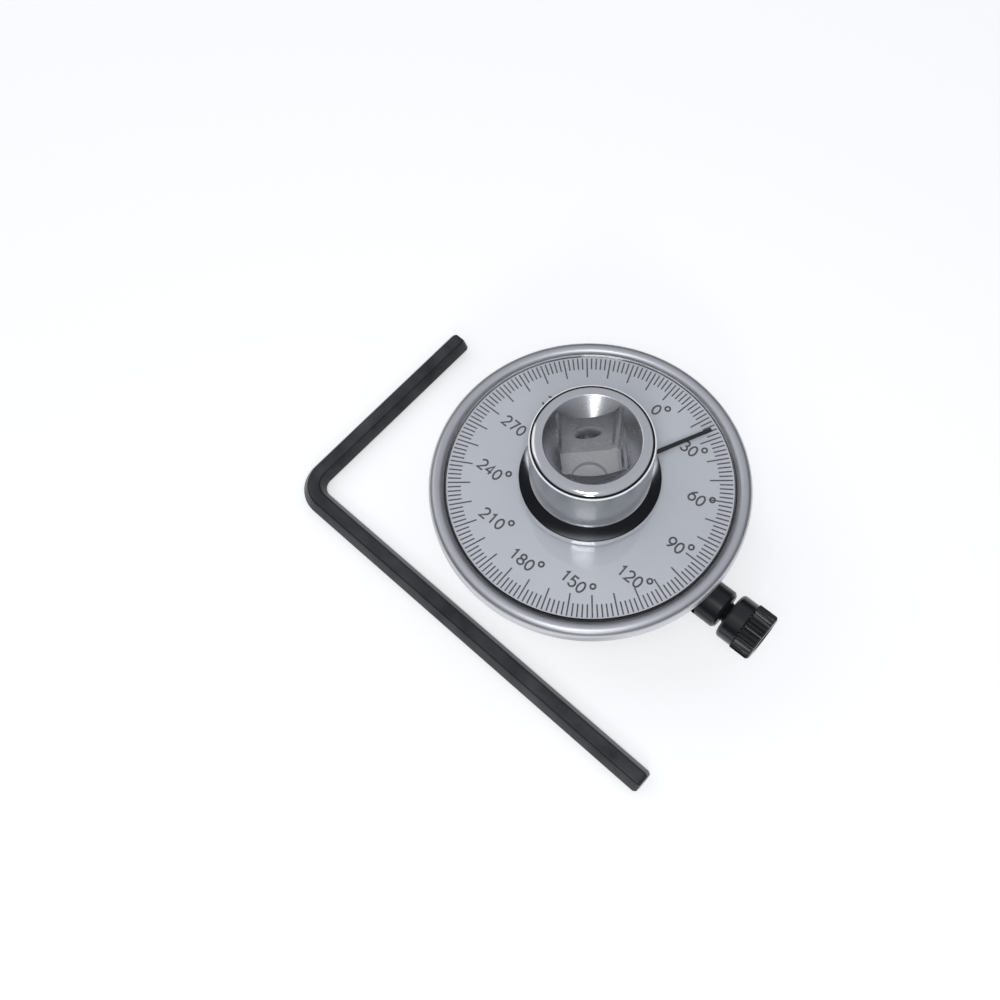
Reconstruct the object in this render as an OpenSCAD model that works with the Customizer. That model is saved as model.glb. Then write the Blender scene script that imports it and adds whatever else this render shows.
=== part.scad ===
// Torque angle gauge for a half inch square drive.
// The socket wrench drives the chrome spindle, the graduated dial is held still by the reaction rod,
// and the pointer line on the clear lens is set by hand and then turns with the spindle.
// The spindle's end face lies on z = 0, its axis is Z, and the rod clamp points along +X.

/* [Drive spindle] */
// Across flats of the male drive square
drive_af = 12.7; // [11.5:0.1:13.5]
// Length of the male drive square
drive_len = 15; // [13:0.5:18]
// Chamfer at the tip of the male square, measured along the axis
drive_chamfer = 1.4; // [0.6:0.1:2]
// Turn of the squares about the drive axis, in degrees
drive_turn = 45; // [0:1:90]
// Diameter of the bearing journal
journal_d = 17; // [16.2:0.1:18]
// Diameter of the neck that carries the lens
neck_d = 20; // [19:0.1:21]
// Diameter of the flange above the lens
flange_d = 29.8; // [28:0.2:34]
// Thickness of the flange at its lip
flange_t = 2; // [0.8:0.1:2.6]
// Diameter of the round head
head_d = 25.2; // [24.4:0.2:26.4]
// Height of the head from the underside of the flange
head_h = 18.8; // [16.4:0.2:21]
// Radius of the hollow curve from the head to the flange
flare_r = 30; // [6:0.5:40]
// Height of the hollow curve from the head to the flange
flare_h = 2.3; // [1.6:0.1:3]
// Chamfer around the top of the head
head_chamfer = 1.5; // [0.5:0.1:1.8]
// Height of the turned line at the foot of the head
foot_line_h = 0.6; // [0.3:0.1:1]
// Depth of the turned line at the foot of the head
foot_line_depth = 0.3; // [0.1:0.05:0.5]

/* [Female square] */
// Extra size of the female square over the male one
socket_play = 0.12; // [0.05:0.01:0.3]
// Depth of the female square
socket_depth = 18.6; // [14:0.1:18.8]
// Diameter of the countersink at the mouth
mouth_d = 19.6; // [17:0.1:20]
// Depth of the countersink
mouth_h = 3.6; // [3:0.1:4]
// Radius of the relief along each corner
relief_r = 0.8; // [0.6:0.05:0.9]
// Distance of each relief's centre from both flats
relief_inset = 0.45; // [0.35:0.05:0.5]
// Diameter of the drilled recess in the floor
floor_recess_d = 8; // [5:0.5:10]
// Depth of the drilled recess in the floor
floor_recess_h = 0.8; // [0.3:0.1:1.5]
// Depth of the detent dimples below the top of the head
dimple_drop = 9.5; // [8:0.5:11]
// How far each detent dimple is sunk into its flat
dimple_depth = 1; // [0.5:0.1:1.2]
// Radius of the detent dimples
dimple_r = 5.5; // [3:0.1:6]

/* [Detent] */
// Diameter of the detent ball
ball_d = 5; // [4:0.1:5.4]
// How far the ball stands out of its flat
ball_out = 1; // [0.6:0.1:1.4]
// How far the ball can be pressed in
ball_travel = 1.2; // [0.8:0.1:1.6]
// Height of the ball above the end face
ball_z = 7.5; // [6:0.5:9]
// Radial clearance of the ball in its bore
ball_play = 0.05; // [0.02:0.01:0.1]
// Length of the detent spring
spring_len = 5; // [4:0.2:5.6]
// Diameter of the spring wire
spring_wire = 0.6; // [0.4:0.05:0.8]
// Number of turns of the spring
spring_turns = 5; // [4:1:7]

/* [Bearing] */
// Height of the housing above the root of the male square
housing_lift = 0.6; // [0.4:0.1:1.5]
// Land below the groove of the retaining clip
groove_land = 1.1; // [0.8:0.1:2]
// Thickness of the retaining clip
clip_t = 1.2; // [0.8:0.1:1.6]
// Depth of the retaining clip's groove
groove_depth = 0.6; // [0.4:0.05:1]
// Radial width of the retaining clip
clip_w = 2.4; // [1.8:0.1:3]
// Opening of the retaining clip, in degrees
clip_gap = 50; // [30:1:80]
// Height of the wave washer
wave_h = 1.2; // [0.9:0.1:1.8]
// Sheet thickness of the wave washer
wave_t = 0.4; // [0.3:0.05:0.6]
// Thickness of the thrust washer
washer_t = 1; // [0.6:0.1:1.6]
// Outer diameter of the washers
washer_d = 26; // [24:0.5:27]
// Clearance of the washers around the journal, on the radius
washer_play = 0.2; // [0.1:0.05:0.4]
// Wall of the two flanged bushes
bush_wall = 2.4; // [1.5:0.1:3]
// Length of each bush's sleeve
bush_len = 4; // [3:0.2:4.8]
// Thickness of the bush flanges
bush_flange_t = 1; // [0.6:0.1:1.5]
// How far the washers stand out beyond the bush flanges, on the radius
washer_over = 0.05; // [0.02:0.01:0.3]
// Running clearance of the journal in the bushes, on the radius
run_play = 0.05; // [0.02:0.01:0.1]
// Axial play of the spindle
end_play = 0.1; // [0.05:0.05:0.3]
// Clearance of the seated pieces in their seats, on the radius
seat_play = 0.02; // [0.01:0.01:0.05]

/* [Housing] */
// Outer diameter of the rim
rim_d = 68; // [64:0.5:76]
// Width of the rim, rounded over at the top
rim_w = 3.3; // [2.4:0.1:4]
// Height of the rim above the dial face
rim_rise = 1.3; // [1.3:0.1:2.5]
// Chamfer under the rim
rim_chamfer = 1; // [0.4:0.1:1.6]
// Thickness of the pan under the dial
pan_t = 2; // [1.6:0.1:3]
// Diameter of the hub under the pan
hub_d = 44; // [38:0.5:48]
// Height of the hub under the pan
hub_h = 13.9; // [13:0.1:18]
// Fillet between the hub and the pan
hub_fillet = 2.5; // [1:0.1:4]
// Chamfer around the foot of the hub
hub_chamfer = 0.8; // [0.3:0.1:1.5]
// Clearance around the washers in the hub's recess
recess_play = 1; // [0.5:0.1:2]
// Depth of the spindle's shoulder below the dial seat
shoulder_drop = 0.8; // [0.5:0.1:1.2]
// Depth of the spot face for the clamp
spot_depth = 0.8; // [0.5:0.1:1.2]

/* [Dial] */
// Thickness of the dial plate
dial_t = 1.5; // [1.2:0.1:2.5]
// Width of the black seal between the dial plate and the rim
seal_w = 0.4; // [0.3:0.05:0.8]
// Clearance on each side of the seal
seal_play = 0.05; // [0.02:0.01:0.1]
// Width of the plain band outside the graduations
scale_margin = 0.25; // [0.1:0.05:1]
// Degrees between two graduations
scale_step = 2; // [1:1:5]
// Graduations from one long line to the next
scale_group = 5; // [2:1:10]
// Length of the short graduations
tick_short = 2.8; // [1.5:0.1:4]
// Length of the long graduations
tick_long = 4.8; // [3:0.1:7]
// Width of the graduations
tick_w = 0.28; // [0.15:0.01:0.4]
// Depth of the engraved graduations
tick_depth = 0.08; // [0.05:0.01:0.2]
// Clearance of the dial plate around the neck
dial_bore_play = 0.8; // [0.5:0.1:1.5]

/* [Lens and pointer] */
// Thickness of the clear lens
lens_t = 1; // [0.8:0.1:1.6]
// Gap below and above the lens
lens_gap = 0.2; // [0.1:0.05:0.4]
// Clearance of the lens in the rim
lens_play = 0.3; // [0.2:0.05:0.6]
// Clearance of the lens around the neck
lens_bore_play = 0.6; // [0.5:0.05:0.9]
// Clearance between the friction ring and the lens
ring_play = 0.05; // [0.02:0.01:0.1]
// Depth of the friction ring's groove
ring_groove = 0.7; // [0.5:0.05:0.8]
// Clearance of the pointer from the flange
pointer_start = 0.4; // [0.2:0.1:5]
// Distance of the pointer's outer end from the edge of the lens
pointer_margin = 1.9; // [0.5:0.1:4]
// Width of the pointer line at its inner end
pointer_w0 = 1; // [0.6:0.05:2]
// Width of the pointer line at its outer end
pointer_w1 = 0.85; // [0.3:0.05:1.5]
// Thickness of the pointer line
pointer_t = 0.12; // [0.08:0.02:0.18]
// Reading of the pointer, in degrees clockwise from the zero line
pointer_at = 26; // [0:1:359]

/* [Rod clamp] */
// Depth of the clamp's axis below the dial face
clamp_drop = 13.5; // [12.5:0.1:14.5]
// Wall of the clamp post above and below the rod hole
post_wall = 1.5; // [1.2:0.1:3]
// Length of the clamp post beyond its lock nut
post_len = 13.7; // [12.5:0.1:18]
// Distance of the rod hole from the inner end of the post
hole_inset = 5.8; // [5:0.1:6.5]
// Chamfer at the outer end of the post
post_chamfer = 0.6; // [0.2:0.1:1]
// Diameter of the post's shank
shank_d = 5; // [4:0.1:5.5]
// Length of the post's shank inside the hub
shank_in = 5.4; // [3:0.1:5.6]
// Thickness of the lock nut
nut_t = 2.5; // [1.6:0.1:3.5]
// Across flats of the lock nut
nut_af = 8; // [7:0.1:9.5]
// Diameter of the thumb screw
screw_d = 4.9; // [4:0.1:5.2]
// Clearance of the thumb screw and its pad in the post, on the radius
screw_play = 0.05; // [0.02:0.01:0.1]
// Thickness of the pressure pad
pad_t = 1.2; // [0.8:0.1:1.8]
// Distance of the pad from the rod hole, as shown
pad_inset = 0.2; // [0.1:0.05:0.5]
// Gap between the pad and the thumb screw
pad_gap = 0.06; // [0.02:0.01:0.1]
// Diameter of the pad's stem
pad_stem_d = 1.8; // [1.2:0.1:2.2]
// Length of the pad's stem
pad_stem_len = 1.4; // [1:0.1:2]

/* [Thumb knob] */
// Gap between the knob and the post, as shown
knob_gap = 1; // [0.9:0.1:2]
// Diameter over the knurl
knob_d = 11; // [9:0.1:16]
// Length of the plain collar
collar_len = 4; // [2:0.1:6]
// Step from the knurl down to the collar, on the radius
collar_step = 0.25; // [0.1:0.05:0.6]
// Length of the knurled grip
knurl_len = 4.6; // [3:0.1:9]
// Number of ridges around the knurl
knurl_count = 36; // [20:1:48]
// Depth of the knurl
knurl_depth = 0.4; // [0.2:0.05:0.6]
// Chamfer at both ends of the knob
knob_chamfer = 0.5; // [0.2:0.1:1]
// Diameter of the shallow dish in the knob's end
dish_d = 6.5; // [4:0.1:7.5]
// Depth of the dish
dish_h = 0.4; // [0.2:0.05:0.8]
// Metal between the dish and the thumb screw
knob_end = 1.8; // [1:0.1:2.5]

/* [Reaction rod] */
// Across flats of the hexagon rod
rod_af = 5; // [4:0.1:6]
// Clearance of the rod in its hole, on the radius
rod_play = 0.12; // [0.05:0.01:0.3]
// Overall length of the short leg
rod_short = 58; // [40:1:90]
// Overall length of the long leg
rod_long = 108; // [80:1:160]
// Radius of the bend, on the centreline
rod_bend = 5.5; // [4:0.1:12]
// Chamfer at the rod's ends
rod_chamfer = 0.7; // [0.3:0.1:1.2]
// Distance of the short leg's centreline from the drive axis, as it lies beside the gauge
rod_lie_x = 59.8; // [52:0.1:90]
// Distance of the long leg's centreline from the drive axis, as it lies beside the gauge
rod_lie_y = 33.7; // [20:0.1:70]
// Turn of the rod about its corner, as it lies beside the gauge, in degrees
rod_lie_turn = -1.5; // [-10:0.5:10]

/* [Hidden] */
$fn = 96;
eps = 0.05;
corner_play = 0.1;

// Heights of the bearing stack, from the end face up
housing_z = drive_len + housing_lift;
groove_z = drive_len + groove_land;
groove_h = clip_t + 2 * end_play;
clip_top = groove_z + clip_t;
washer_z = clip_top + wave_h;
lower_flange_z = washer_z + washer_t + end_play;
recess_top = lower_flange_z + bush_flange_t;
pan_z = housing_z + hub_h;
dial_seat = pan_z + pan_t;
dial_z = dial_seat + dial_t;
lens_z = dial_z + lens_gap;
lens_top = lens_z + lens_t;
flange_z = lens_top + lens_gap;
shoulder_z = dial_seat - shoulder_drop;
upper_seat = shoulder_z - end_play - bush_flange_t;
head_z = flange_z + head_h;

// Radii
journal_r = journal_d / 2;
corner_r = journal_r - corner_play;
neck_r = neck_d / 2;
head_r = head_d / 2;
flange_r = flange_d / 2;
bush_ir = journal_r + run_play;
bush_or = bush_ir + bush_wall;
groove_r = journal_r - groove_depth;
clip_r = groove_r + clip_w;
washer_ir = journal_r + washer_play;
washer_r = washer_d / 2;
bush_flange_r = washer_r - washer_over;
recess_r = washer_r + recess_play;
rim_r = rim_d / 2;
rim_ir = rim_r - rim_w;
seal_r = rim_ir - seal_play;
seal_ir = seal_r - seal_w;
dial_r = seal_ir - seal_play;
dial_ir = neck_r + dial_bore_play;
scale_r = dial_r - scale_margin;
lens_r = rim_ir - lens_play;
lens_ir = neck_r + lens_bore_play;
rim_top = dial_z + rim_rise;
hub_r = hub_d / 2;

// Flare from the head to the flange: an arc over the chord between their edges
flare_low = flange_z + flange_t;
flare_z = flare_low + flare_h;
flare_run = flange_r - head_r;
flare_chord = sqrt(pow(flare_run, 2) + pow(flare_h, 2));
flare_back = sqrt(pow(flare_r, 2) - pow(flare_chord / 2, 2));
flare_x = (head_r + flange_r) / 2 + flare_back * flare_h / flare_chord;
flare_y = (flare_low + flare_z) / 2 + flare_back * flare_run / flare_chord;

// Female square and detent
socket_af = drive_af + socket_play;
socket_z = head_z - socket_depth;
relief_at = socket_af / 2 - relief_inset;
ball_r = ball_d / 2;
ball_bore_r = ball_r + ball_play;
ball_at = drive_af / 2 + ball_out - ball_r;
spring_end = ball_at - ball_r;
detent_floor = spring_end - spring_len;
spring_r = ball_bore_r - spring_wire;
dimple_at = socket_af / 2 + dimple_depth - dimple_r;

// Friction ring
ring_groove_r = neck_r - ring_groove;
ring_section = (lens_ir - ring_play - ring_groove_r) / 2;
ring_mid = ring_groove_r + ring_section;
ring_z = (lens_z + lens_top) / 2;

// Rod and rod clamp
rod_ac = rod_af / cos(30);
rod_hole_r = rod_ac / 2 + rod_play;
post_r = rod_hole_r + post_wall;
clamp_z = dial_z - clamp_drop;
spot_x = hub_r - spot_depth;
post_x = spot_x + nut_t;
hole_x = post_x + hole_inset;
post_end = post_x + post_len;
shank_r = shank_d / 2;
screw_r = screw_d / 2;
post_bore_r = screw_r + screw_play;
pad_x = hole_x + rod_hole_r + pad_inset;
screw_x = pad_x + pad_t + pad_gap;
knob_x = post_end + knob_gap;
grip_x = knob_x + collar_len;
knob_tip = grip_x + knurl_len;
knob_r = knob_d / 2;
collar_r = knob_r - collar_step;
screw_end = knob_tip - dish_h - knob_end;

// Turns a piece that is drawn along Z so that it lies along +X at the clamp's height
module along_clamp(x) {
    translate([x, 0, clamp_z])
        rotate([0, 90, 0])
            children();
}

// Flat ring between two radii
module ring(inner, outer, height) {
    difference() {
        cylinder(r = outer, h = height);
        translate([0, 0, -eps])
            cylinder(r = inner, h = height + 2 * eps);
    }
}

// Sleeve with a flange at its lower end
module flanged_bush() {
    ring(bush_ir, bush_flange_r, bush_flange_t);
    ring(bush_ir, bush_or, bush_flange_t + bush_len);
}

// Bar along Z with a chamfer at its top
module chamfered_bar(radius, length, chamfer) {
    cylinder(r = radius, h = length - chamfer);
    translate([0, 0, length - chamfer])
        cylinder(r1 = radius, r2 = radius - chamfer, h = chamfer);
}

// Half section of the spindle above the male square
module spindle_profile() {
    difference() {
        union() {
            translate([0, drive_len])
                square([journal_r, shoulder_z - drive_len]);
            translate([0, shoulder_z])
                square([neck_r, flange_z - shoulder_z]);
            difference() {
                translate([0, flange_z])
                    square([flange_r, flare_z - flange_z]);
                translate([flare_x, flare_y])
                    circle(r = flare_r, $fn = 2 * $fn);
            }
            translate([0, flange_z])
                square([head_r, head_h]);
        }
        translate([groove_r, groove_z])
            square([groove_depth + eps, groove_h]);
        translate([ring_groove_r, ring_z - ring_section])
            square([ring_groove + eps, 2 * ring_section]);
        translate([head_r - foot_line_depth, flare_z])
            square([foot_line_depth + eps, foot_line_h]);
        translate([head_r, head_z])
            rotate(45)
                square(head_chamfer * sqrt(2), center = true);
    }
}

// Male square with its corners turned and its tip chamfered
module drive_square() {
    intersection() {
        translate([-drive_af / 2, -drive_af / 2, 0])
            cube([drive_af, drive_af, drive_len + eps]);
        union() {
            cylinder(r1 = corner_r - drive_chamfer, r2 = corner_r, h = drive_chamfer);
            translate([0, 0, drive_chamfer])
                cylinder(r = corner_r, h = drive_len + eps - drive_chamfer);
        }
    }
}

// Everything that is cut into the head for the wrench's square
module female_square() {
    translate([0, 0, socket_z]) {
        translate([-socket_af / 2, -socket_af / 2, 0])
            cube([socket_af, socket_af, socket_depth + eps]);
        for (x = [-1, 1], y = [-1, 1])
            translate([x * relief_at, y * relief_at, 0])
                cylinder(r = relief_r, h = socket_depth + eps);
        translate([0, 0, -floor_recess_h])
            cylinder(d = floor_recess_d, h = floor_recess_h + eps);
    }
    translate([0, 0, head_z - mouth_h])
        cylinder(r1 = mouth_d / 2 - mouth_h, r2 = mouth_d / 2, h = mouth_h);
    // Each sphere is turned by half a turn, so that its seam lies in the open socket
    for (side = [0:3])
        rotate(90 * side)
            translate([dimple_at, 0, head_z - dimple_drop])
                rotate(180)
                    sphere(r = dimple_r);
}

// Bore of the detent ball, open at one flat of the male square
module detent_bore() {
    translate([detent_floor, 0, ball_z])
        rotate([0, 90, 0])
            cylinder(r = ball_bore_r, h = drive_af);
}

module drive_spindle() {
    color("gainsboro")
        difference() {
            union() {
                rotate_extrude()
                    spindle_profile();
                rotate(drive_turn)
                    drive_square();
            }
            rotate(drive_turn)
                female_square();
            rotate(drive_turn - 90)
                detent_bore();
        }
}

module detent_ball() {
    color("silver")
        rotate(drive_turn - 90)
            translate([ball_at, 0, ball_z])
                sphere(r = ball_r);
}

// Points of one ring of the coil, at turn angle a and height h
function coil_ring(a, h, sides) = [
    for (s = [0:sides - 1])
        let (
            side = 360 * s / sides,
            reach = spring_r - spring_wire / 2 + spring_wire / 2 * cos(side)
        )
        [reach * cos(a), reach * sin(a), h + spring_wire / 2 * sin(side)]
];

// Coil spring along Z, swept ring by ring
module coil(length, turns) {
    sides = 6;
    rings = 10 * turns;
    rise = length - spring_wire;
    points = [
        for (i = [0:rings])
            each coil_ring(360 * turns * i / rings, spring_wire / 2 + rise * i / rings, sides)
    ];
    skin = [
        for (i = [0:rings - 1], s = [0:sides - 1])
            let (t = (s + 1) % sides)
            [i * sides + s, (i + 1) * sides + s, (i + 1) * sides + t, i * sides + t]
    ];
    caps = [[for (s = [0:sides - 1]) s], [for (s = [sides - 1:-1:0]) rings * sides + s]];
    polyhedron(points, concat(skin, caps), convexity = 8);
}

module detent_spring() {
    color("dimgray")
        rotate(drive_turn - 90)
            translate([detent_floor, 0, ball_z])
                rotate([0, 90, 0])
                    coil(spring_len, spring_turns);
}

module friction_ring() {
    color([0.06, 0.06, 0.06])
        rotate_extrude()
            translate([ring_mid, ring_z])
                circle(r = ring_section);
}

module upper_bush() {
    color("darkgoldenrod")
        translate([0, 0, upper_seat + bush_flange_t])
            mirror([0, 0, 1])
                flanged_bush();
}

module lower_bush() {
    color("darkgoldenrod")
        translate([0, 0, lower_flange_z])
            flanged_bush();
}

module thrust_washer() {
    color("lightslategray")
        translate([0, 0, washer_z])
            ring(washer_ir, washer_r, washer_t);
}

// Ring of spring sheet with three waves between the clip and the thrust washer
module wave_washer() {
    waves = 3;
    steps = 72;
    outer = clip_r + recess_play;
    swing = (wave_h - wave_t) / 2 - seat_play;
    middle = clip_top + wave_h / 2;
    points = [
        for (i = [0:steps - 1])
            let (a = 360 * i / steps, h = middle + swing * cos(waves * a))
            each [
                for (corner = [[washer_ir, -1], [outer, -1], [outer, 1], [washer_ir, 1]])
                    [corner[0] * cos(a), corner[0] * sin(a), h + corner[1] * wave_t / 2]
            ]
    ];
    skin = [
        for (i = [0:steps - 1], s = [0:3])
            let (j = (i + 1) % steps, t = (s + 1) % 4)
            each [[4 * i + s, 4 * i + t, 4 * j + t], [4 * i + s, 4 * j + t, 4 * j + s]]
    ];
    color("slategray")
        polyhedron(points, skin, convexity = 8);
}

// Open snap ring with two drilled ears
module retaining_clip() {
    ear_r = clip_w / 2;
    ear_hole = ear_r / 2;
    ear_at = groove_r + seat_play + ear_r;
    color("dimgray")
        translate([0, 0, groove_z])
            linear_extrude(clip_t)
                difference() {
                    union() {
                        difference() {
                            circle(r = clip_r);
                            polygon([
                                [0, 0],
                                2 * clip_r * [cos(clip_gap / 2), sin(clip_gap / 2)],
                                2 * clip_r * [cos(clip_gap / 2), -sin(clip_gap / 2)]
                            ]);
                        }
                        for (side = [-1, 1])
                            rotate(side * clip_gap / 2)
                                translate([ear_at, 0])
                                    circle(r = ear_r);
                    }
                    circle(r = groove_r + seat_play);
                    for (side = [-1, 1])
                        rotate(side * clip_gap / 2)
                            translate([ear_at, 0])
                                circle(r = ear_hole);
                }
}

// Half section of the housing: hub, pan and rounded rim
module housing_profile() {
    round_r = rim_w / 2;
    difference() {
        union() {
            translate([0, housing_z])
                square([hub_r, hub_h]);
            translate([0, pan_z])
                square([rim_r, pan_t]);
            translate([rim_ir, pan_z])
                square([rim_w, rim_top - round_r - pan_z]);
            translate([rim_r - round_r, rim_top - round_r])
                circle(r = round_r);
            translate([hub_r, pan_z - hub_fillet])
                square([hub_fillet, hub_fillet]);
        }
        translate([hub_r + hub_fillet, pan_z - hub_fillet])
            circle(r = hub_fillet);
        translate([hub_r, housing_z])
            rotate(45)
                square(hub_chamfer * sqrt(2), center = true);
        translate([rim_r, pan_z])
            rotate(45)
                square(rim_chamfer * sqrt(2), center = true);
        translate([0, housing_z - eps])
            square([recess_r, recess_top - housing_z + eps]);
        square([bush_or + seat_play, dial_seat + eps]);
        translate([0, upper_seat])
            square([bush_flange_r + seat_play, dial_seat - upper_seat + eps]);
    }
}

module dial_housing() {
    color("lightsteelblue")
        difference() {
            rotate_extrude()
                housing_profile();
            along_clamp(spot_x)
                cylinder(r = post_r + recess_play, h = rim_r);
            along_clamp(spot_x - shank_in - seat_play)
                cylinder(r = shank_r + seat_play, h = rim_r);
        }
}

// Outline of the ring of graduations, open to the outside
module scale_teeth() {
    for (i = [0:360 / scale_step - 1])
        let (reach = i % scale_group == 0 ? tick_long : tick_short)
        rotate(90 - scale_step * i)
            translate([scale_r - reach, -tick_w / 2])
                square([reach, tick_w]);
}

module dial_plate() {
    color("white")
        difference() {
            translate([0, 0, dial_seat])
                ring(dial_ir, dial_r, dial_t);
            translate([0, 0, dial_z - tick_depth])
                linear_extrude(tick_depth + eps)
                    scale_teeth();
        }
}

module dial_seal() {
    color([0.05, 0.05, 0.06])
        translate([0, 0, dial_seat])
            ring(seal_ir, seal_r, dial_t);
}

module lens() {
    color([0.9, 0.95, 1, 0.25])
        translate([0, 0, lens_z])
            ring(lens_ir, lens_r, lens_t);
}

module pointer() {
    start = flange_r + pointer_start;
    stop = lens_r - pointer_margin;
    color("black")
        translate([0, 0, lens_top])
            rotate(90 - pointer_at)
                linear_extrude(pointer_t)
                    polygon([
                        [start, -pointer_w0 / 2],
                        [stop, -pointer_w1 / 2],
                        [stop, pointer_w1 / 2],
                        [start, pointer_w0 / 2]
                    ]);
}

module clamp_post() {
    color([0.12, 0.12, 0.13])
        difference() {
            union() {
                along_clamp(post_x)
                    chamfered_bar(post_r, post_len, post_chamfer);
                along_clamp(spot_x - shank_in)
                    cylinder(r = shank_r, h = shank_in + nut_t + eps);
            }
            translate([hole_x, 0, clamp_z])
                rotate([90, 0, 0])
                    cylinder(r = rod_hole_r, h = 4 * post_r, center = true);
            along_clamp(hole_x)
                cylinder(r = post_bore_r, h = post_len);
        }
}

module lock_nut() {
    color("dimgray")
        along_clamp(spot_x)
            difference() {
                cylinder(d = nut_af / cos(30), h = nut_t, $fn = 6);
                translate([0, 0, -eps])
                    cylinder(r = shank_r + seat_play, h = nut_t + 2 * eps);
            }
}

module pressure_pad() {
    color("goldenrod")
        along_clamp(pad_x) {
            cylinder(r = screw_r, h = pad_t);
            cylinder(d = pad_stem_d, h = pad_t + pad_stem_len);
        }
}

module thumb_screw() {
    stem_hole = pad_stem_len + pad_gap;
    color([0.15, 0.15, 0.16])
        along_clamp(screw_x)
            difference() {
                cylinder(r = screw_r, h = screw_end - screw_x);
                translate([0, 0, -eps])
                    cylinder(r = pad_stem_d / 2 + screw_play, h = stem_hole + eps);
            }
}

// Outline of the knurl, one ridge for each pair of points
module knurl_outline() {
    polygon([
        for (i = [0:2 * knurl_count - 1])
            let (r = i % 2 == 0 ? knob_r : knob_r - knurl_depth, a = 180 * i / knurl_count)
            r * [cos(a), sin(a)]
    ]);
}

module knob() {
    knob_len = collar_len + knurl_len;
    color([0.1, 0.1, 0.11])
        along_clamp(knob_x)
            difference() {
                union() {
                    cylinder(r1 = collar_r - knob_chamfer, r2 = collar_r, h = knob_chamfer);
                    translate([0, 0, knob_chamfer])
                        cylinder(r = collar_r, h = collar_len - knob_chamfer + eps);
                    intersection() {
                        translate([0, 0, collar_len])
                            linear_extrude(knurl_len)
                                knurl_outline();
                        chamfered_bar(knob_r, knob_len, knob_chamfer);
                    }
                }
                translate([0, 0, -eps])
                    cylinder(r = screw_r + seat_play, h = screw_end - knob_x + 2 * eps);
                translate([0, 0, knob_len - dish_h])
                    cylinder(d = dish_d, h = dish_h + eps);
            }
}

// Hexagon across the rod, with a flat side up when it lies down
module rod_section() {
    circle(d = rod_ac, $fn = 6);
}

// One straight leg along Z with a chamfered end
module rod_leg(length) {
    intersection() {
        linear_extrude(length)
            rod_section();
        chamfered_bar(rod_ac / 2, length, rod_chamfer);
    }
}

module reaction_rod() {
    inset = rod_ac / 2 + rod_bend;
    color([0.13, 0.14, 0.15])
        translate([-rod_lie_x, -rod_lie_y, rod_af / 2])
            rotate(rod_lie_turn) {
                translate([0, rod_bend, 0])
                    rotate([-90, 0, 0])
                        rod_leg(rod_short - inset);
                translate([rod_bend, 0, 0])
                    rotate([0, 90, 0])
                        rotate(90)
                            rod_leg(rod_long - inset);
                translate([rod_bend, rod_bend, 0])
                    rotate(180)
                        rotate_extrude(angle = 90)
                            translate([rod_bend, 0])
                                rod_section();
            }
}

drive_spindle();
detent_ball();
detent_spring();
friction_ring();
upper_bush();
lower_bush();
thrust_washer();
wave_washer();
retaining_clip();
dial_housing();
dial_plate();
dial_seal();
lens();
pointer();
clamp_post();
lock_nut();
pressure_pad();
thumb_screw();
knob();
reaction_rod();
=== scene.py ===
"""Torque angle gauge: the dressed model of a half inch drive gauge with its loose reaction rod."""
import logging
import math
from dataclasses import dataclass, field
from enum import Enum
from typing import Optional, Sequence

import bmesh
import bpy
import numpy as np
from mathutils import Matrix, Vector


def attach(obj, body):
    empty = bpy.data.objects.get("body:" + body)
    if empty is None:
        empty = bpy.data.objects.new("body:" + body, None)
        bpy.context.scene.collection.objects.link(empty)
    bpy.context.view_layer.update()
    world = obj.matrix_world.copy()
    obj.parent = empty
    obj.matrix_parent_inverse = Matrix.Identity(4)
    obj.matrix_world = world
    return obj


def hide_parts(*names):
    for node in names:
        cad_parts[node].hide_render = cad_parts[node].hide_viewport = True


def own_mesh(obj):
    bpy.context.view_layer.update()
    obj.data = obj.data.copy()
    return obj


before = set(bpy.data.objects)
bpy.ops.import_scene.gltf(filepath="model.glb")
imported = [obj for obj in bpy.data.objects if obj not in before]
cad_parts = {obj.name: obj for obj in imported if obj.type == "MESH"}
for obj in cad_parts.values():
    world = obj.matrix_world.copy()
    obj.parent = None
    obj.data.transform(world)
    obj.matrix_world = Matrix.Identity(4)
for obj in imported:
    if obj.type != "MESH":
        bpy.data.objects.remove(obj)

LOG = logging.getLogger("torque_angle_gauge")
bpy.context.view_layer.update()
MM = 0.001
WHITE = (1.0, 1.0, 1.0, 1.0)
Array = np.ndarray
Surface = tuple[Array, Array]
Pair = tuple[float, float]
Triple = tuple[float, float, float]
Mesh = bpy.types.Mesh
Object = bpy.types.Object
Material = bpy.types.Material
Tree = bpy.types.NodeTree
Node = bpy.types.Node
Socket = bpy.types.NodeSocket
Color = tuple[float, float, float, float]
Finishes = dict[str, Material]


class Body(str, Enum):
    """Rigid bodies of the frame that the new pieces ride on."""

    SPINDLE = "spindle"
    HOUSING = "housing"
    KNOB = "knob"
    ROD = "rod"


class Shading(Enum):
    """Largest angle, in degrees, across which a surface is shaded as smooth."""

    TURNED = 28.0
    MILLED = 20.0
    ROUND = 60.0


# Mesh tools


def mesh_object(name: str, verts: Array, faces: Sequence, shading: Shading) -> Object:
    """Makes a linked mesh object at the origin.

    Args:
        name: Object name.
        verts: Points in millimetres, shape (n, 3).
        faces: Index rows, as an array or a list of lists.
        shading: How far the surface is smooth across its edges.

    Returns:
        The object, with its normals pointing outwards.
    """
    mesh = bpy.data.meshes.new(name)
    rows = faces.tolist() if isinstance(faces, np.ndarray) else [list(f) for f in faces]
    mesh.from_pydata((np.asarray(verts, dtype=float) * MM).tolist(), [], rows)
    obj = bpy.data.objects.new(name, mesh)
    bpy.context.scene.collection.objects.link(obj)
    close_mesh(mesh)
    shade(mesh, shading)
    return obj


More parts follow.
